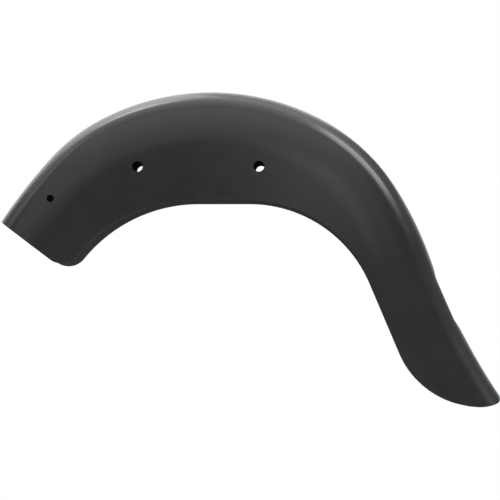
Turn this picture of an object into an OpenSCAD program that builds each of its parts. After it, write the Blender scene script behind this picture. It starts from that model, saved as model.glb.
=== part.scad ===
// Motorcycle rear fender: one welded sheet-steel shell over the wheel, with two
// skirts that bulge gently into the crown, a flat lamp seat near the tail and
// drilled strut holes.
// Millimetres. X runs to the tail, Y across, Z up. The origin lies on the axis
// of the front strut holes, halfway between the skirts.

/* [Shell] */

// Width over both skirts
fender_w = 200; // [170:2:240]
// Thickness of the sheet
wall = 1.9; // [1.5:0.1:3]
// Radius of the crown across the fender
crown_r = 200; // [180:5:300]
// Radius of the shoulder between crown and skirt
shoulder_r = 30; // [20:1:40]
// Radius of the gentle bulge at the top of each skirt
bulge_r = 200; // [150:5:300]
// Lean of the skirt where the bulge meets the shoulder, in degrees
bulge_lean = 20; // [5:1:25]

/* [Crown line] */

// Mean radius of the crown line around the wheel
line_r = 388; // [360:1:420]
// How much flatter the crown is over the top of the wheel
top_ease = 29; // [20:1:40]
// How much tighter it is over the front of the wheel
front_tuck = 66; // [55:1:75]
// How much tighter it is over the back of the wheel
back_tuck = 44; // [35:1:55]
// Radius of the almost straight stretch behind the front edge
nose_r = 946; // [900:2:1000]
// Radius of the stretch that leads into the tail
lead_r = 631; // [600:1:660]
// Radius of the reversed curve of the tail
flare_r = 1086; // [1000:2:1200]
// Height of the highest point of the crown above the strut holes
apex_z = 134; // [130:1:145]
// Highest point of the crown behind the front strut hole
apex_x = 125.5; // [120:0.5:130]

/* [Skirt edge] */

// Slope of the straight front edge, in degrees
front_slope = 37; // [34:0.5:40]
// Length of the straight front edge, from the crown to the corner
front_edge = 114; // [100:1:120]
// Radius of the front corner of each skirt
corner_r = 35; // [25:1:45]
// How much tighter the arch is than the crown line, ahead of the wheel's top
arch_front_step = 126; // [118:1:134]
// Length of the level stretch at the top of the arch
arch_level = 90; // [80:1:100]
// How much tighter the arch is than the crown line, behind the wheel's top
arch_back_step = 157; // [150:1:165]
// Length of the straight stretch down to the tail
arch_drop = 135; // [125:1:145]
// Radius of the rounded underside of the tail
tail_r = 155; // [145:1:165]
// Radius of the tail's underside near its tip
tail_end_r = 77; // [60:1:90]
// Radius of the tip of the tail
tip_r = 10; // [6:1:16]

/* [Holes] */

// Diameter of the strut holes
strut_hole_d = 19; // [10:0.5:22]
// Distance between the strut holes of one skirt
strut_gap = 211; // [200:1:220]
// Diameter of the small front holes
front_hole_d = 13; // [6:0.5:16]

/* [Lamp seat] */

// Length of the flat on the crown
seat_l = 79; // [50:1:90]
// Depth of the flat below the crown at its middle
seat_depth = 2.5; // [1:0.1:5]
// Slope of the ramps at both ends of the flat, in degrees
seat_ramp = 12; // [8:1:20]

/* [Hidden] */

$fn = 180;

half_w = fender_w / 2;
crown_step = 2.5;
edge_step = 4;
bulge_steps = 3;
shoulder_steps = 6;
across_steps = 5;
above_crown = 20;
below_arch = 40;
through = 1;
paint = [0.16, 0.17, 0.17];

// Runs of the crown line as [radius, turn], first from its highest point to the
// front and then back to the tail. A positive turn bends toward the wheel. Both
// ends run on past the edge that trims them.
nose_turn = 8.5;
crown_front = [
    [line_r + top_ease, 27.5], [line_r - front_tuck, 20.3], [nose_r, nose_turn + 4]
];
crown_rear = [
    [line_r + top_ease, 26.7], [line_r - back_tuck, 31.4], [lead_r, 12.3], [flare_r, -18]
];

// Skirt edge from the crown at the front to the tail tip, as [radius, turn]. A
// radius of 0 is a straight of the given length.
corner_turn = 88;
lead_in = 25;
edge_run = [
    [0, lead_in + front_edge], [corner_r, -corner_turn],
    [line_r - arch_front_step, corner_turn - front_slope], [0, arch_level],
    [line_r - arch_back_step, 67], [0, arch_drop],
    [tail_r, -64], [tail_end_r, -26], [tip_r, -67]
];

front_hole = [-151.5, -55.3];

// Turn from the start of the tail curve to the middle of the lamp seat, and the
// height of the block that clears it
seat_turn = -4;
seat_clear = 60;

// Right-hand normal of a heading, and the unit vector along it
function right(h) = [sin(h), -cos(h)];
function ahead(h) = [cos(h), sin(h)];

// State [point, heading] after one run
function after(s, run) =
    run[0] == 0
        ? [s[0] + run[1] * ahead(s[1]), s[1]]
        : let (side = sign(run[1]), h = s[1] - run[1])
            [s[0] + side * run[0] * (right(s[1]) - right(h)), h];

// State at the start of run number i
function state(s, runs, i) = i == 0 ? s : after(state(s, runs, i - 1), runs[i - 1]);

// Where the front edge meets the crown line, and the start of the edge beyond it
nose = after(state([[0, 0], 0], crown_front, 2), [nose_r, nose_turn])[0];
edge_start = [[apex_x - nose[0], apex_z + nose[1]] - lead_in * ahead(-front_slope), -front_slope];

// Depth of the section, from the crown to below the top of the arch
reach = apex_z - state(edge_start, edge_run, 3)[0][1] + below_arch;

// States along a chain of runs, with arcs in steps of about the given angle
function trace(s, runs, step) = [
    for (i = [0 : len(runs) - 1])
        let (from = state(s, runs, i), n = runs[i][0] == 0 ? 1 : ceil(abs(runs[i][1]) / step))
            for (k = [1 : n]) after(from, [runs[i][0], runs[i][1] * k / n])
];

// Front half of the crown line, mirrored about its highest point, then the rear
function crown_states() =
    let (front = trace([[0, 0], 0], crown_front, crown_step), n = len(front))
        concat(
            [for (i = [1 : n]) [[-front[n - i][0][0], front[n - i][0][1]], -front[n - i][1]]],
            [[[0, 0], 0]],
            trace([[0, 0], 0], crown_rear, crown_step)
        );

// Half of the cross-section from the skirt to the middle of the crown, as
// [height above the crown line, distance from the middle]. Bulge, shoulder and
// crown are tangent arcs. The inset gives the inner face of the sheet.
function half_section(inset) =
    let (
        bulge_y = half_w - bulge_r,
        shoulder_y = bulge_y + (bulge_r - shoulder_r) * cos(bulge_lean),
        crown_lean = asin(shoulder_y / (crown_r - shoulder_r)),
        shoulder_x = (crown_r - shoulder_r) * cos(crown_lean) - crown_r,
        bulge_x = shoulder_x - (bulge_r - shoulder_r) * sin(bulge_lean)
    )
    concat(
        [[-reach, half_w - inset]],
        arc_points([bulge_x, bulge_y], bulge_r - inset, 0, bulge_lean, bulge_steps),
        arc_points([shoulder_x, shoulder_y], shoulder_r - inset, bulge_lean, 90 - crown_lean,
            shoulder_steps),
        arc_points([-crown_r, 0], crown_r - inset, 90 - crown_lean, 90, across_steps),
        [[-inset, 0]]
    );

// Points from angle a up to angle b, without the last, turning from across to up
function arc_points(centre, r, a, b, n) =
    [for (k = [0 : n - 1]) let (t = a + (b - a) * k / n) centre + r * [sin(t), cos(t)]];

function full_section(inset) =
    let (half = half_section(inset), n = len(half))
        concat(half, [for (i = [n - 2 : -1 : 0]) [half[i][0], -half[i][1]]]);

// Filled sweep of the section along the crown line
module crown_sweep(inset) {
    outline = full_section(inset);
    line = crown_states();
    m = len(outline);
    n = len(line);
    points = [
        for (s = line) for (q = outline)
            let (at = s[0] - q[0] * right(s[1])) [apex_x + at[0], q[1], apex_z + at[1]]
    ];
    sides = [
        for (i = [0 : n - 2]) for (j = [0 : m - 1])
            let (a = i * m + j, b = i * m + (j + 1) % m)
                for (t = [[a, b + m, b], [a, a + m, b + m]]) t
    ];
    front_end = [for (j = [0 : m - 1]) j];
    tail_end = [for (j = [m - 1 : -1 : 0]) (n - 1) * m + j];
    polyhedron(points, concat(sides, [front_end, tail_end]));
}

// Block lying on the flat of the lamp seat and on the ramps at its ends
module seat_block(inset) {
    mid = after(state([[0, 0], 0], crown_rear, 3), [flare_r, seat_turn]);
    at = mid[0] + (seat_depth + inset) * right(mid[1]);
    slope = seat_clear * [cos(seat_ramp), sin(seat_ramp)];
    translate([apex_x + at[0], half_w, apex_z + at[1]]) rotate([0, -mid[1], 0]) rotate([90, 0, 0])
        linear_extrude(fender_w)
            polygon([
                [-seat_l / 2, 0], [seat_l / 2, 0], [seat_l / 2, 0] + slope,
                [seat_l / 2 + slope[0], seat_clear], [-seat_l / 2 - slope[0], seat_clear],
                [-seat_l / 2 - slope[0], slope[1]]
            ]);
}

module body(inset) {
    difference() {
        crown_sweep(inset);
        seat_block(inset);
    }
}

// Side view of the whole fender, open above the crown
module side_view() {
    edge = [for (s = trace(edge_start, edge_run, edge_step)) s[0]];
    above = apex_z + above_crown;
    last = edge[len(edge) - 1];
    polygon(concat([[edge_start[0][0], above], edge_start[0]], edge, [[last[0], above]]));
}

module cross_hole(at, d) {
    translate([at[0], half_w + through, at[1]]) rotate([90, 0, 0])
        cylinder(d = d, h = fender_w + 2 * through);
}

module fender_shell() {
    color(paint) difference() {
        intersection() {
            body(0);
            translate([0, half_w + through, 0]) rotate([90, 0, 0])
                linear_extrude(fender_w + 2 * through) side_view();
        }
        body(wall);
        cross_hole([0, 0], strut_hole_d);
        cross_hole([strut_gap, 0], strut_hole_d);
        cross_hole(front_hole, front_hole_d);
    }
}

fender_shell();
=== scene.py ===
"""Motorcycle rear fender: the pressed shell, its satin coat and a plain studio."""

from math import asin, ceil, copysign, cos, pi, radians, sin, sqrt

import bmesh
import bpy
from bpy.props import FloatProperty, FloatVectorProperty, PointerProperty
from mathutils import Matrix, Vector, geometry
from mathutils.bvhtree import BVHTree
from mathutils.kdtree import KDTree


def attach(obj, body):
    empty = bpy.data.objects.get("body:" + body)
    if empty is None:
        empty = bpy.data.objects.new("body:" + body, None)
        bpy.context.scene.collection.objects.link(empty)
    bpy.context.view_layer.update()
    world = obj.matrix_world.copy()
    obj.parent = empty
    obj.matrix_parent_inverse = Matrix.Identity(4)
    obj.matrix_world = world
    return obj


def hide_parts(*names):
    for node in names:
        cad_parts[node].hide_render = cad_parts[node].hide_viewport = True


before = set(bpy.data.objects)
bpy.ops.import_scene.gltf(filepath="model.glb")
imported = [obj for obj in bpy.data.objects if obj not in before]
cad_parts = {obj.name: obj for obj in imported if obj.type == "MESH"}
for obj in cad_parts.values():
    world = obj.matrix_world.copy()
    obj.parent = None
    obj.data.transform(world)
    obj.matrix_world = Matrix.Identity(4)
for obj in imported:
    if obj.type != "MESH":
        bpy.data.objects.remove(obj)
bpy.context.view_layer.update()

bl_info = {
    "name": "Rear Fender",
    "version": (1, 0, 0),
    "blender": (4, 5, 0),
    "location": "View3D > Sidebar > Fender",
    "description": "Builds a pressed motorcycle rear fender, its coat and a studio",
    "category": "Object",
}

MM = 0.001

# Runs of the crown line as (radius in mm, turn in degrees), from its highest point
CROWN_FRONT = ((417.0, 27.5), (322.0, 20.3), (946.0, 12.5))
CROWN_REAR = ((417.0, 26.7), (344.0, 31.4), (631.0, 12.3), (1086.0, -18.0))

# Turn along the last front run to the nose, and along the tail to the lamp seat
NOSE_TURN = 8.5
SEAT_TURN = -4.0
FRONT_HOLE = (-151.5, -55.3)

# Skirt edge from the nose to beyond the tail tip; radius 0 is a straight in mm
EDGE_HEADING = -37.0
CORNER_RADIUS = 35.0
TIP_RADIUS = 10.0
EDGE_RUN = (
    (0.0, 114.0),
    (CORNER_RADIUS, -88.0),
    (262.0, 51.0),
    (0.0, 90.0),
    (231.0, 67.0),
    (0.0, 135.0),
    (155.0, -64.0),
    (77.0, -26.0),
    (TIP_RADIUS, -67.0),
    (0.0, 30.0),
)

# Trim in mm that keeps the leaning inner face within the edge
TRIM = 0.3

# Spacing in mm of the points on the crown and edge lines, the number of points at the
# crown's end among which the tail tip lies, and the length in mm of a ray
LINE_SPACING = 0.5
TIP_POINTS = 200
RAY_LENGTH = 600.0

# Tolerances in mm: a hit this close to a ray's start is no crossing, the tail tip may lie
# this far beyond a step of the edge, and the corner this far before its place
START_GAP = 1e-4
STEP_GAP = 1e-6
CORNER_GAP = 1e-3

# Steps of the crown, shoulder and bulge arcs of the half section, and the depth in mm
# that the flat skirt runs down to before it is trimmed
SECTION_STEPS = (120, 60, 120)
SKIRT_DEPTH = 400.0

# Rows along the half section as (count, spacing in mm), over the crown, the shoulder and
# the bulge. They close up where the section is shorter than ROWS_LENGTH. The flat skirt
# has evenly spaced rows.
ROW_BANDS = ((12, 5.6), (14, 2.4), (10, 6.2))
ROWS_LENGTH = 175.0
FLAT_ROWS = 12

# Rings follow the corner and the tip by turns of RING_TURN degrees, lie close together
# for a while behind the corner, and then at most RING_SPACING mm apart
RING_TURN = 6
CORNER_RINGS = 15
CLOSE_RINGS = 24
CLOSE_SPACING = 1.6
RING_SPACING = 4.0

# Lengths of the crown in mm over which the rings turn to the slanted end edges
NOSE_FAN = 80.0
TAIL_FAN = 110.0

# Least length in mm of a half section, where the skin runs out at the nose and the tip
LEAST_SECTION = 0.01

# Softness in mm of the creases around the lamp seat. They reach CREASE_REACH times that
# below the flat and its ramps, and CREASE_DROP times it is taken off to fade them out.
CREASE = 0.6
CREASE_REACH = 3
CREASE_DROP = 0.06

# Distance in metres below which points of the skin are joined
MERGE = 0.00002

# Width in metres of the broken edge of a hole, how far its cutter runs beyond the
# skirts, and the number of its sides
BROKEN = 0.0003
BEYOND = 0.002
HOLE_SIDES = 72

# Angles in degrees from which an edge is rounded, and from which it is shaded as sharp
ROUNDED_FROM = 60
SHARP_FROM = 50

# Textures as (noise scale, detail, low, high), with no effect at low and the whole one
# at high: clouds of colour, patches of gloss and the ragged border of the undercoat's painted
# shade
CLOUDS = (9.0, 3.0, 0.3, 0.6)
PATCHES = (60.0, 4.0, 0.25, 0.75)
BORDER = (90.0, 3.0, 0.3, 0.7)

# Noise scale and detail of the coat's sprayed texture and of the undercoat's grit
PEEL = (650.0, 2.0)
GRIT = (260.0, 3.0)

# How far in metres the border of the undercoat's painted shade wanders, and half the width of
# its fade
RAGGED = 0.003

# Shares of the sheet's thickness, from the outer face in, over which the coat turns
# matt at a cut edge and over which the thinner inner coat, its lighter tone painted light,
# takes over
CUT_SHARES = (0.01, 0.04)
INNER_SHARES = (0.6, 0.9)

# How far the coat's roughness varies, the roughness of cut edges and of the undercoat,
# and the grey that dims the undercoat's shine as painted shade
GLOSS_SPREAD = 0.03
CUT_ROUGHNESS = 0.6
UNDER_ROUGHNESS = 0.75
UNDER_SHINE_PAINTED_SHADE = (0.1, 0.1, 0.1, 1)

# Refractive index of the coat
COAT_IOR = 1.5

WHITE = (1, 1, 1, 1)

# Half the side of the floor in metres, its colour and its roughness
FLOOR_HALF = 2.2
FLOOR_COLOUR = (0.8, 0.8, 0.8, 1)
FLOOR_ROUGHNESS = 0.9

# Width of the camera's sensor in mm, and how far it sees in metres
SENSOR = 36
FAR = 200

# Brightness of the sky for light, as (place from straight down to straight up, level)
SKY = (
    (0.0, 0.4),
    (0.44, 0.4),
    (0.47, 0.05),
    (0.6, 0.05),
    (0.7, 0.08),
    (0.775, 0.3),
    (0.875, 0.6),
    (1.0, 0.9),
)
SKY_STRENGTH = 2.0

# Soft lamps as (name, aim, direction, distance, size, radiance), in metres
LAMPS = (
    ("upper_right", (0.35, 0.0, 0.0), (0.67, 0.0, 0.74), 3.0, (2.35, 1.7), 4.2),
    ("behind_left", (0.0, 0.0, 0.1), (-0.27, 0.55, 0.79), 3.2, (0.9, 1.4), 2.6),
    ("behind_wide", (0.0, 0.0, 0.1), (-0.34, 0.71, 0.61), 3.4, (2.65, 1.4), 0.88),
    ("behind_right", (0.3, 0.0, -0.2), (0.20, 0.97, 0.12), 3.2, (1.2, 0.8), 0.55),
    ("front", (0.1, 0.0, 0.0), (-0.08, -0.87, 0.46), 3.0, (4.4, 1.8), 0.62),
    ("near", (0.32, -0.1, -0.02), (0.1, -0.95, 0.12), 1.0, (0.4, 0.3), 0.9),
    ("backdrop", (0.1, 0.0, -0.1), (-0.12, 0.95, 0.29), 3.2, (2.4, 1.3), 1.0),
    ("left", (0.0, 0.0, 0.0), (-0.76, -0.12, 0.64), 3.0, (1.2, 1.2), 0.8),
)


def length(name, about, default):
    """Length property in metres."""
    return FloatProperty(name=name, description=about, default=default, min=0.0, unit="LENGTH")


class FenderShape(bpy.types.PropertyGroup):
    """Sizes of the pressed shell."""

    width: length("Width", "Width over both skirts", 0.2)
    wall: length("Sheet", "Thickness of the sheet", 0.0019)
    crown_radius: length("Crown radius", "Radius of the crown across the fender", 0.2)
    shoulder_radius: length("Shoulder radius", "Radius between crown and skirt", 0.03)
    bulge_radius: length("Bulge radius", "Radius of the gentle bulge of the skirt", 0.2)
    bulge_lean: FloatProperty(
        name="Bulge lean",
        description="Lean of the skirt where it meets the shoulder",
        default=radians(20),
        subtype="ANGLE",
    )
    apex_x: length("Apex back", "Highest point behind the front strut hole", 0.1255)
    apex_z: length("Apex height", "Highest point above the strut holes", 0.134)
    strut_hole: length("Strut hole", "Diameter of the strut holes", 0.019)
    strut_gap: length("Strut gap", "Distance between the strut holes", 0.211)
    front_hole: length("Front hole", "Diameter of the small front holes", 0.013)
    seat_length: length("Seat length", "Length of the flat for the lamp", 0.079)
    seat_depth: length("Seat depth", "Depth of the flat below the crown", 0.0025)
    rim: length("Rim rounding", "Rounding of the edges of the sheet", 0.00015)
    seat_ramp: FloatProperty(
        name="Seat ramp",
        description="Slope of the ramps at both ends of the flat",
        default=radians(12),
        subtype="ANGLE",
    )


class FenderFinish(bpy.types.PropertyGroup):
    """Colours and gloss of the coat, with painted light on its inner edge and painted shade
    inside.
    """

    coat_colour: FloatVectorProperty(
        name="Coat",
        description="Colour of the satin coat",
        default=(0.0210, 0.0231, 0.0224),
        size=3,
        subtype="COLOR",
    )
    cloud_colour: FloatVectorProperty(
        name="Cloud",
        description="Colour of the faint darker clouds in the coat",
        default=(0.0165, 0.0183, 0.0177),
        size=3,
        subtype="COLOR",
    )
    gloss: FloatProperty(
        name="Roughness",
        description="Mean roughness of the coat",
        default=0.24,
        min=0.0,
        max=1.0,
        subtype="FACTOR",
    )
    # Lighter than the outer coat: painted light that lifts the shade on the inner face near
    # the edge, over the thin coat that wraps around it
    inner_coat_and_painted_light: FloatVectorProperty(
        name="Inner edge",
        description="Colour of the thinner coat that wraps around the edge",
        default=(0.034, 0.036, 0.035),
        size=3,
        subtype="COLOR",
    )
    # Near black: painted shade inside the fender, over a matt undercoat
    under_colour_painted_shade: FloatVectorProperty(
        name="Undercoat",
        description="Colour of the matt undercoat inside",
        default=(0.003, 0.003, 0.003),
        size=3,
        subtype="COLOR",
    )
    wrap: length("Wrap", "How far the satin coat wraps around the edge", 0.016)
    peel: length("Peel height", "Height of the sprayed texture", 0.000012)
    grit: length("Grit height", "Height of the undercoat's grit", 0.0002)


class FenderStudio(bpy.types.PropertyGroup):
    """Camera, lights and floor."""

    floor_height: FloatProperty(
        name="Floor",
        description="Height of the floor",
        default=-0.64,
        unit="LENGTH",
    )
    camera_at: FloatVectorProperty(
        name="Camera",
        description="Place of the camera",
        default=(0.38559, -8.0, -0.37896),
        size=3,
        subtype="XYZ",
        unit="LENGTH",
    )
    aim: FloatVectorProperty(
        name="Aim",
        description="Point in the middle of the picture",
        default=(0.19329, 0.0, -0.14255),
        size=3,
        subtype="XYZ",
        unit="LENGTH",
    )
    lens: FloatProperty(
        name="Lens",
        description="Focal length in millimetres",
        default=328.6,
        min=1.0,
    )


def right(heading):
    """Normal on the wheel's side of a heading in degrees."""
    return Vector((sin(radians(heading)), -cos(radians(heading))))


def ahead(heading):
    """Unit vector along a heading in degrees."""
    return Vector((cos(radians(heading)), sin(radians(heading))))


def after(state, run):
    """State (point, heading) at the end of one run."""
    point, heading = state
    radius, turn = run
    if radius == 0:
        return point + turn * ahead(heading), heading
    bent = heading - turn
    return point + copysign(radius, turn) * (right(heading) - right(bent)), bent


def trace(state, runs, spacing):
    """States along the runs, about spacing mm apart."""
    out = [state]
    for radius, turn in runs:
        size = abs(turn) if radius == 0 else radius * radians(abs(turn))
        steps = max(1, ceil(size / spacing))
        start = out[-1]
        out += [after(start, (radius, turn * k / steps)) for k in range(1, steps + 1)]
    return out


def lengths_along(points):
    """Length of a polyline up to each of its points."""
    lengths = [0.0]
    for one, two in zip(points, points[1:]):
        lengths.append(lengths[-1] + (two - one).length)
    return lengths


def at_length(points, lengths):
    """Points at the given lengths along a polyline."""
    out, i, done = [], 0, 0.0
    for wanted in lengths:
        while i < len(points) - 2 and done + (points[i + 1] - points[i]).length < wanted:
            done += (points[i + 1] - points[i]).length
            i += 1
        step = points[i + 1] - points[i]
        out.append(points[i] + step * min(1.0, (wanted - done) / step.length))
    return out


def crossing(start, direction, line):
    """Nearest point where a ray from start meets a polyline."""
    end = start + RAY_LENGTH * direction
    hits = [geometry.intersect_line_line_2d(start, end, p, q) for p, q in zip(line, line[1:])]
    found = [h for h in hits if h is not None and (h - start).length > START_GAP]
    return min(found, key=lambda h: (h - start).length) if found else None


def side_lines(shape):
    """Crown states from the nose to the tail tip, and the skirt edge below them."""
    origin = (Vector((0.0, 0.0)), 0.0)
    apex = Vector((shape.apex_x, shape.apex_z)) / MM
    to_nose = CROWN_FRONT[:2] + ((CROWN_FRONT[2][0], NOSE_TURN),)
    front = trace(origin, to_nose, LINE_SPACING)
    rear = trace(origin, CROWN_REAR, LINE_SPACING)
    crown = [(apex + Vector((-p.x, p.y)), -h) for p, h in reversed(front[1:])]
    crown += [(apex + p, h) for p, h in rear]
    edge = [p for p, _ in trace((crown[0][0], EDGE_HEADING), EDGE_RUN, LINE_SPACING)]
    tail = [p for p, _ in crown[-TIP_POINTS:]]
    for i in range(len(edge) - 1, 0, -1):
        step = edge[i] - edge[i - 1]
        tip = crossing(edge[i - 1], step.normalized(), tail)
        if tip and (tip - edge[i - 1]).length <= step.length + STEP_GAP:
            break
    else:
        raise RuntimeError("the skirt edge misses the crown at the tail")
    kept = [state for state in crown if state[0].x < tip.x]
    return kept + [(tip, kept[-1][1])], edge[:i] + [tip]


def section_rows(shape):
    """Half section from the middle of the crown to the flat skirt, as (depth, across)."""
    half = shape.width / MM / 2
    crown, bend = shape.crown_radius / MM, shape.shoulder_radius / MM
    bulge, lean = shape.bulge_radius / MM, shape.bulge_lean
    bend_across = half - bulge + (bulge - bend) * cos(lean)
    tilt = asin(bend_across / (crown - bend))
    bend_depth = crown - (crown - bend) * cos(tilt)
    bulge_depth = bend_depth + (bulge - bend) * sin(lean)
    over_crown, over_bend, over_bulge = SECTION_STEPS
    rows = arc(crown, 0.0, crown, pi / 2, pi / 2 - tilt, over_crown)
    rows += arc(bend_depth, bend_across, bend, pi / 2 - tilt, lean, over_bend)
    rows += arc(bulge_depth, half - bulge, bulge, lean, 0.0, over_bulge)
    rows += [(bulge_depth, half), (SKIRT_DEPTH, half)]
    return [Vector(row) for row in rows]


def arc(depth, across, radius, high, low, steps):
    """Points of one arc of the section, without its last, turning from up to across."""
    turns = [high + (low - high) * k / steps for k in range(steps)]
    return [(depth - radius * sin(t), across + radius * cos(t)) for t in turns]


def row_lengths(total):
    """Lengths along the half section where its rows lie, close on the shoulder."""
    lengths = [0.0]
    for count, spacing in ROW_BANDS:
        lengths += [lengths[-1] + spacing * (k + 1) for k in range(count)]
    share = min(1.0, total / ROWS_LENGTH)
    lengths = [share * value for value in lengths]
    gap = (total - lengths[-1]) / FLAT_ROWS
    return lengths + [lengths[-1] + gap * (k + 1) for k in range(FLAT_ROWS)]


def seat_press(shape):
    """Function that pushes a side-view point down onto the lamp seat."""
    state = (Vector((0.0, 0.0)), 0.0)
    for run in CROWN_REAR[:3]:
        state = after(state, run)
    middle, heading = after(state, (CROWN_REAR[3][0], SEAT_TURN))
    out = -right(heading)
    along = ahead(heading)
    at = Vector((shape.apex_x, shape.apex_z)) / MM + middle - shape.seat_depth / MM * out
    half, ramp = shape.seat_length / MM / 2, shape.seat_ramp

    def press(point):
        rel = point - at
        flat, run = rel.dot(out), abs(rel.dot(along)) - half
        slope = flat - max(run, 0.0) * sin(ramp) / cos(ramp)
        if slope <= -CREASE_REACH * CREASE:
            return point
        over = (slope + sqrt(slope * slope + CREASE * CREASE)) / 2 - CREASE * CREASE_DROP
        return point - max(over, 0.0) * out

    return press


def skin_rings(shape):
    """Rings of the outer skin from the nose to the tail tip, each from edge to edge."""
    crown, edge = side_lines(shape)
    below = [p for p in edge if (p - edge[0]).length > EDGE_RUN[0][1] - CORNER_GAP]
    press = seat_press(shape)
    half = section_rows(shape)
    depths = [row.x for row in half]
    run = lengths_along(half)
    nose_skew = EDGE_HEADING - (crown[0][1] - 90.0)
    tail_skew = -crown[-1][1]
    places, lengths = ring_places(crown)
    rings = []
    for (point, heading), along in zip(places, lengths):
        skew = nose_skew * max(0.0, 1.0 - along / NOSE_FAN)
        skew += tail_skew * max(0.0, 1.0 - (lengths[-1] - along) / TAIL_FAN)
        inward, squint = ahead(heading - 90.0 + skew), cos(radians(skew))
        foot = below[0] if not rings else crossing(point, inward, below)
        reach = max(0.0, (foot - point).length - TRIM) * squint if foot else 0.0
        i = next(k for k in range(1, len(depths)) if depths[k] >= reach)
        share = (reach - depths[i - 1]) / (depths[i] - depths[i - 1])
        total = run[i - 1] + (run[i] - run[i - 1]) * share
        rows = at_length(half, row_lengths(max(total, LEAST_SECTION)))
        side = [(press(point + row.x / squint * inward), row.y) for row in rows]
        ring = [(p.x * MM, y * MM, p.y * MM) for p, y in side]
        rings.append([(x, -y, z) for x, y, z in reversed(ring[1:])] + ring)
    return rings


def arc_drop(radius, turns):
    """How far an arc has dropped from its start after some turns."""
    return radius * (1 - cos(radians(RING_TURN * turns)))


def ring_places(crown):
    """Crown states where the rings start, close together at both ends."""
    points = [p for p, _ in crown]
    lengths = lengths_along(points)
    total = lengths[-1]
    wanted = [TRIM + arc_drop(CORNER_RADIUS, k) for k in range(CORNER_RINGS)]
    wanted += [wanted[-1] + CLOSE_SPACING * (k + 1) for k in range(CLOSE_RINGS)]
    steps = ceil((total - wanted[-1]) / RING_SPACING)
    gap = (total - wanted[-1]) / steps
    wanted += [wanted[-1] + gap * (k + 1) for k in range(steps)]
    wanted = [value for value in wanted if value < total - TIP_RADIUS]
    wanted += [total - TRIM - arc_drop(TIP_RADIUS, k) for k in reversed(range(CORNER_RINGS))]
    places, i = [], 0
    for value in wanted:
        while i < len(lengths) - 2 and lengths[i + 1] < value:
            i += 1
        share = (value - lengths[i]) / (lengths[i + 1] - lengths[i])
        heading = crown[i][1] + (crown[i + 1][1] - crown[i][1]) * share
        places.append((points[i] + (points[i + 1] - points[i]) * share, heading))
    return places, wanted


def outer_skin(shape):
    """Open outer skin of the fender, its faces turned outward."""
    work = bmesh.new()
    rings = [[work.verts.new(at) for at in ring] for ring in skin_rings(shape)]
    for one, two in zip(rings, rings[1:]):
        for j in range(len(one) - 1):
            work.faces.new((one[j], two[j], two[j + 1], one[j + 1]))
    bmesh.ops.remove_doubles(work, verts=work.verts, dist=MERGE)
    bmesh.ops.recalc_face_normals(work, faces=work.faces)
    top = max(work.faces, key=lambda face: face.calc_center_median().z)
    if top.normal.z < 0:
        bmesh.ops.reverse_faces(work, faces=work.faces)
    return finish_mesh(work, "fender_skin")


def finish_mesh(work, name):
    """Object made of a bmesh, which is freed."""
    mesh = bpy.data.meshes.new(name)
    work.to_mesh(mesh)
    work.free()
    made = bpy.data.objects.new(name, mesh)
    bpy.context.scene.collection.objects.link(made)
    return made


def drill(shape, x, z, diameter):
    """Cutter through both skirts that breaks the outer edges of its holes."""
    half, bore = shape.width / 2, diameter / 2
    profile = (
        (-half - BEYOND, bore + BROKEN + BEYOND),
        (BROKEN - half, bore),
        (half - BROKEN, bore),
        (half + BEYOND, bore + BROKEN + BEYOND),
    )
    work = bmesh.new()
    turns = [2 * pi * k / HOLE_SIDES for k in range(HOLE_SIDES)]
    rings = []
    for y, radius in profile:
        ring = [work.verts.new((x + radius * cos(t), y, z + radius * sin(t))) for t in turns]
        rings.append(ring)
    for one, two in zip(rings, rings[1:]):
        for k in range(HOLE_SIDES):
            work.faces.new((one[k], one[k - 1], two[k - 1], two[k]))
    work.faces.new(rings[0])
    work.faces.new(list(reversed(rings[-1])))
    bmesh.ops.recalc_face_normals(work, faces=work.faces)
    return finish_mesh(work, "drill")


def modify(piece, kind, **settings):
    """Applies one modifier."""
    change = piece.modifiers.new(kind.lower(), kind)
    for name, value in settings.items():
        setattr(change, name, value)
    bpy.context.view_layer.update()
    view = bpy.context.evaluated_depsgraph_get()
    mesh = bpy.data.meshes.new_from_object(piece.evaluated_get(view))
    piece.modifiers.clear()
    piece.data = mesh


def mark_inside(shape, shell, outer):
    """Stores which points lie on the inner face, and how far they lie from the edge."""
    edge = side_lines(shape)[1]
    tree = KDTree(len(edge))
    for i, point in enumerate(edge):
        tree.insert((point.x * MM, 0.0, point.y * MM), i)
    tree.balance()
    inner = shell.data.attributes.new("inner", "FLOAT", "POINT")
    depth = shell.data.attributes.new("edge_distance", "FLOAT", "POINT")
    for vertex in shell.data.vertices:
        away = outer.find_nearest(vertex.co)[3]
        inner.data[vertex.index].value = min(1.0, away / shape.wall)
        depth.data[vertex.index].value = tree.find((vertex.co.x, 0.0, vertex.co.z))[2]


class FENDER_OT_press_shell(bpy.types.Operator):
    """Press, trim and drill the one-piece shell"""

    bl_idname = "fender.press_shell"
    bl_label = "Press Shell"

    def execute(self, context):
        shape = context.scene.fender_shape
        shell = outer_skin(shape)
        outer = BVHTree.FromObject(shell, context.evaluated_depsgraph_get())
        modify(shell, "SOLIDIFY", thickness=shape.wall, offset=-1.0, use_even_offset=True)
        limit = radians(ROUNDED_FROM)
        modify(shell, "BEVEL", width=shape.rim, segments=2, angle_limit=limit)
        for x, z, diameter in (
            (0.0, 0.0, shape.strut_hole),
            (shape.strut_gap, 0.0, shape.strut_hole),
            (FRONT_HOLE[0] * MM, FRONT_HOLE[1] * MM, shape.front_hole),
        ):
            cutter = drill(shape, x, z, diameter)
            modify(shell, "BOOLEAN", operation="DIFFERENCE", object=cutter, solver="EXACT")
            bpy.data.objects.remove(cutter)
        if not shell.data.polygons:
            raise RuntimeError("the shell came out empty")
        mark_inside(shape, shell, outer)
        for face in shell.data.polygons:
            face.use_smooth = True
        shell.data.set_sharp_from_angle(angle=radians(SHARP_FROM))
        modify(shell, "WEIGHTED_NORMAL", weight=100, keep_sharp=True)
        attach(shell, "root")
        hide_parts("fender_shell")
        return {"FINISHED"}


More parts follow.
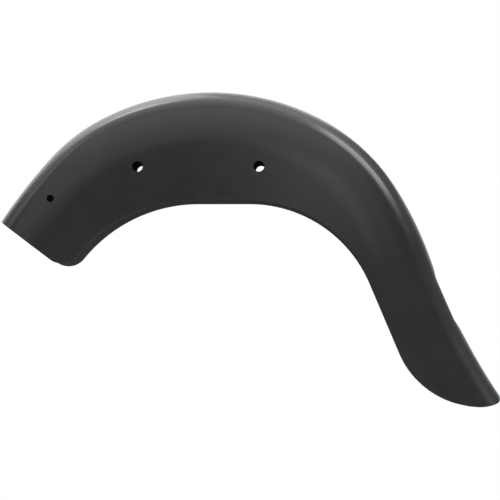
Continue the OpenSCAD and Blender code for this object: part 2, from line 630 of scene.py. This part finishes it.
def coat_material(finish):
    """Satin coat outside, a thin coat lightened with painted light around the edge, and
    further in a matt undercoat darkened to near black with painted shade.
    """
    material = bpy.data.materials.new("satin_coat")
    material.use_nodes = True
    tree = material.node_tree
    link = tree.links.new
    shader = tree.nodes["Principled BSDF"]
    shader.inputs["IOR"].default_value = COAT_IOR
    place = tree.nodes.new("ShaderNodeTexCoord").outputs["Object"]

    def noise(scale, detail):
        made = tree.nodes.new("ShaderNodeTexNoise")
        made.inputs["Scale"].default_value = scale
        made.inputs["Detail"].default_value = detail
        link(place, made.inputs["Vector"])
        return made.outputs["Fac"]

    def stored(name):
        made = tree.nodes.new("ShaderNodeAttribute")
        made.attribute_name = name
        return made.outputs["Fac"]

    def spread(value, low, high, to_low=0.0, to_high=1.0):
        made = tree.nodes.new("ShaderNodeMapRange")
        names = ("From Min", "From Max", "To Min", "To Max")
        for name, number in zip(names, (low, high, to_low, to_high)):
            made.inputs[name].default_value = number
        link(value, made.inputs["Value"])
        return made.outputs["Result"]

    def cloudy(texture, to_low=0.0, to_high=1.0):
        scale, detail, low, high = texture
        return spread(noise(scale, detail), low, high, to_low, to_high)

    def calc(operation, one, two):
        made = tree.nodes.new("ShaderNodeMath")
        made.operation = operation
        link(one, made.inputs[0])
        link(two, made.inputs[1])
        return made.outputs["Value"]

    def blend(factor, one, two, kind="RGBA"):
        made = tree.nodes.new("ShaderNodeMix")
        made.data_type = kind
        link(factor, made.inputs["Factor"])
        wanted = "VALUE" if kind == "FLOAT" else kind
        ends = [s for s in made.inputs if s.name in ("A", "B") and s.type == wanted]
        for socket, value in zip(ends, (one, two)):
            if isinstance(value, bpy.types.NodeSocket):
                link(value, socket)
            else:
                socket.default_value = value
        return next(s for s in made.outputs if s.type == wanted)

    inner = spread(stored("inner"), *INNER_SHARES)
    border = calc("ADD", stored("edge_distance"), cloudy(BORDER, -RAGGED, RAGGED))
    deep = spread(border, finish.wrap - RAGGED, finish.wrap + RAGGED)
    undercoat_and_painted_shade_mask = calc("MULTIPLY", inner, deep)

    cloud, coat = (*finish.cloud_colour, 1), (*finish.coat_colour, 1)
    # The inner coat's lighter tone is painted light on the shaded inner face
    sprayed_and_painted_light = blend(inner, blend(cloudy(CLOUDS), cloud, coat), (*finish.inner_coat_and_painted_light, 1))
    # The undercoat's near black is painted shade inside the fender
    link(blend(undercoat_and_painted_shade_mask, sprayed_and_painted_light, (*finish.under_colour_painted_shade, 1)), shader.inputs["Base Color"])

    satin = cloudy(PATCHES, finish.gloss - GLOSS_SPREAD, finish.gloss + GLOSS_SPREAD)
    cut = spread(stored("inner"), *CUT_SHARES, 0.0, CUT_ROUGHNESS)
    rough = blend(undercoat_and_painted_shade_mask, calc("MAXIMUM", satin, cut), UNDER_ROUGHNESS, "FLOAT")
    link(rough, shader.inputs["Roughness"])
    # The undercoat's dimmed shine is painted shade
    link(blend(undercoat_and_painted_shade_mask, WHITE, UNDER_SHINE_PAINTED_SHADE), shader.inputs["Specular Tint"])

    peel = tree.nodes.new("ShaderNodeBump")
    peel.inputs["Distance"].default_value = finish.peel
    link(noise(*PEEL), peel.inputs["Height"])
    grit = tree.nodes.new("ShaderNodeBump")
    grit.inputs["Distance"].default_value = finish.grit
    link(calc("MULTIPLY", undercoat_and_painted_shade_mask, noise(*GRIT)), grit.inputs["Height"])
    link(peel.outputs["Normal"], grit.inputs["Normal"])
    link(grit.outputs["Normal"], shader.inputs["Normal"])
    return material


class FENDER_OT_coat_shell(bpy.types.Operator):
    """Spray the shell with the satin coat"""

    bl_idname = "fender.coat_shell"
    bl_label = "Coat Shell"

    def execute(self, context):
        shell = bpy.data.objects["fender_skin"]
        shell.data.materials.clear()
        shell.data.materials.append(coat_material(context.scene.fender_finish))
        return {"FINISHED"}


def softbox(name, aim, toward, distance, size, radiance):
    """Rectangular lamp that faces the aim from a direction, invisible to the camera."""
    lamp = bpy.data.lights.new(name, "AREA")
    lamp.shape = "RECTANGLE"
    lamp.size, lamp.size_y = size
    lamp.energy = radiance * pi * size[0] * size[1]
    made = bpy.data.objects.new(name, lamp)
    step = Vector(toward).normalized() * distance
    made.location = Vector(aim) + step
    made.rotation_euler = (-step).to_track_quat("-Z", "Y").to_euler()
    made.visible_camera = False
    bpy.context.scene.collection.objects.link(made)


def pale_world():
    """White for the camera; for light, dim at the horizon and bright overhead."""
    world = bpy.data.worlds.new("studio")
    world.use_nodes = True
    tree = world.node_tree
    tree.nodes.clear()
    add, link = tree.nodes.new, tree.links.new
    seen, lit = add("ShaderNodeBackground"), add("ShaderNodeBackground")
    seen.inputs["Color"].default_value = WHITE

    place, split = add("ShaderNodeTexCoord"), add("ShaderNodeSeparateXYZ")
    link(place.outputs["Generated"], split.inputs["Vector"])
    levels = add("ShaderNodeValToRGB")
    while len(levels.color_ramp.elements) < len(SKY):
        levels.color_ramp.elements.new(0.5)
    for element, (position, level) in zip(levels.color_ramp.elements, SKY):
        element.position = position
        element.color = (level, level, level, 1)
    height = add("ShaderNodeMapRange")
    height.inputs["From Min"].default_value = -1.0
    link(split.outputs["Z"], height.inputs["Value"])
    link(height.outputs["Result"], levels.inputs["Fac"])
    link(levels.outputs["Color"], lit.inputs["Color"])
    lit.inputs["Strength"].default_value = SKY_STRENGTH

    path, mix, out = (
        add("ShaderNodeLightPath"),
        add("ShaderNodeMixShader"),
        add("ShaderNodeOutputWorld"),
    )
    link(path.outputs["Is Camera Ray"], mix.inputs["Fac"])
    link(lit.outputs["Background"], mix.inputs[1])
    link(seen.outputs["Background"], mix.inputs[2])
    link(mix.outputs["Shader"], out.inputs["Surface"])
    return world


def pale_floor(height):
    """Pale floor that is clear from below, so that the inside can be looked at."""
    work = bmesh.new()
    bmesh.ops.create_grid(work, x_segments=1, y_segments=1, size=FLOOR_HALF)
    floor = finish_mesh(work, "floor")
    floor.location.z = height
    material = bpy.data.materials.new("pale_floor")
    material.use_nodes = True
    tree = material.node_tree
    shader = tree.nodes["Principled BSDF"]
    shader.inputs["Base Color"].default_value = FLOOR_COLOUR
    shader.inputs["Roughness"].default_value = FLOOR_ROUGHNESS
    shader.inputs["Specular IOR Level"].default_value = 0.0
    side, clear, mix = (
        tree.nodes.new("ShaderNodeNewGeometry"),
        tree.nodes.new("ShaderNodeBsdfTransparent"),
        tree.nodes.new("ShaderNodeMixShader"),
    )
    tree.links.new(side.outputs["Backfacing"], mix.inputs["Fac"])
    tree.links.new(shader.outputs["BSDF"], mix.inputs[1])
    tree.links.new(clear.outputs["BSDF"], mix.inputs[2])
    tree.links.new(mix.outputs["Shader"], tree.nodes["Material Output"].inputs["Surface"])
    floor.data.materials.append(material)


class FENDER_OT_set_stage(bpy.types.Operator):
    """Lay the floor and set up the lights and the camera"""

    bl_idname = "fender.set_stage"
    bl_label = "Set Stage"

    def execute(self, context):
        scene = context.scene
        studio = scene.fender_studio
        pale_floor(studio.floor_height)
        scene.world = pale_world()
        for lamp in LAMPS:
            softbox(*lamp)

        lens = bpy.data.cameras.new("camera")
        lens.lens, lens.sensor_width = studio.lens, SENSOR
        lens.clip_end = FAR
        camera = bpy.data.objects.new("camera", lens)
        camera.location = studio.camera_at
        aim = Vector(studio.aim) - Vector(studio.camera_at)
        camera.rotation_euler = aim.to_track_quat("-Z", "Y").to_euler()
        scene.collection.objects.link(camera)
        scene.camera = camera
        scene.view_settings.view_transform = "Standard"
        return {"FINISHED"}


class FENDER_PT_panel(bpy.types.Panel):
    """Sizes, finish and studio of the fender"""

    bl_idname = "FENDER_PT_panel"
    bl_label = "Rear Fender"
    bl_space_type = "VIEW_3D"
    bl_region_type = "UI"
    bl_category = "Fender"

    def draw(self, context):
        scene = context.scene
        for group, step in (
            (scene.fender_shape, FENDER_OT_press_shell),
            (scene.fender_finish, FENDER_OT_coat_shell),
            (scene.fender_studio, FENDER_OT_set_stage),
        ):
            box = self.layout.box()
            for name in group.__annotations__:
                box.prop(group, name)
            box.operator(step.bl_idname)


CLASSES = (
    FenderShape,
    FenderFinish,
    FenderStudio,
    FENDER_OT_press_shell,
    FENDER_OT_coat_shell,
    FENDER_OT_set_stage,
    FENDER_PT_panel,
)


def register():
    for kind in CLASSES:
        bpy.utils.register_class(kind)
    bpy.types.Scene.fender_shape = PointerProperty(type=FenderShape)
    bpy.types.Scene.fender_finish = PointerProperty(type=FenderFinish)
    bpy.types.Scene.fender_studio = PointerProperty(type=FenderStudio)


def unregister():
    del bpy.types.Scene.fender_shape
    del bpy.types.Scene.fender_finish
    del bpy.types.Scene.fender_studio
    for kind in reversed(CLASSES):
        bpy.utils.unregister_class(kind)


def main():
    register()
    bpy.ops.fender.press_shell()
    bpy.ops.fender.coat_shell()
    bpy.ops.fender.set_stage()


if __name__ == "__main__":
    main()
